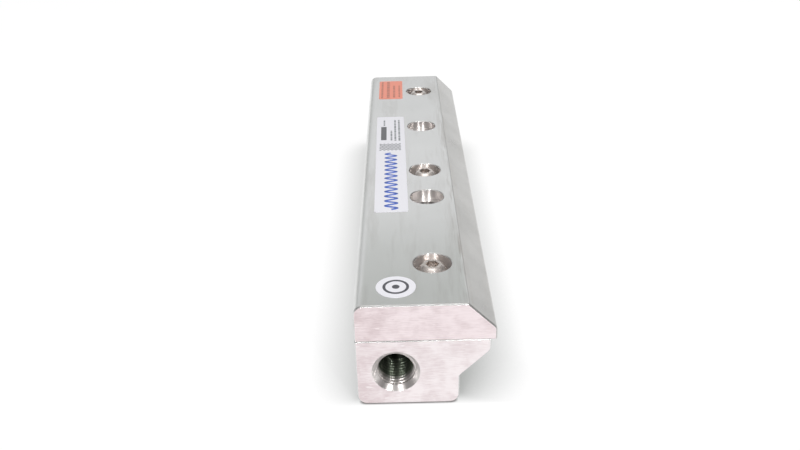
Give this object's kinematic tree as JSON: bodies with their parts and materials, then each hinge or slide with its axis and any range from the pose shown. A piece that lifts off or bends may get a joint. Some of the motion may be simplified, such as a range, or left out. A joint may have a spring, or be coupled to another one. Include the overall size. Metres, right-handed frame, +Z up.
{
  "type": "compressed air knife",
  "caption": "Two-piece aluminium air knife: a bar that blows compressed air in a thin flat sheet along its length.",
  "frame": {"origin": "centre of the bounding box, at the bottom face of the body", "axes": "+X across the knife towards its nozzle, +Y along it away from the open inlet, +Z up from the body to the cap"},
  "size_m": [0.0444, 0.2286, 0.0377],
  "materials": {
    "aluminium_body": "satin",
    "aluminium_cap": "satin",
    "stainless_shim": "satin",
    "steel_screws": "satin",
    "steel_plug": "satin",
    "white_vinyl": "gloss",
    "orange_vinyl": "gloss"
  },
  "bodies": {
    "root": {"body": "aluminium_body", "cap": "aluminium_cap", "shim": "stainless_shim", "cap_screw_1": "steel_screws", "cap_screw_2": "steel_screws", "cap_screw_3": "steel_screws", "inlet_plug": "steel_plug", "name_label": "white_vinyl", "square_label": "orange_vinyl", "round_label": "white_vinyl"}
  },
  "joints": []
}
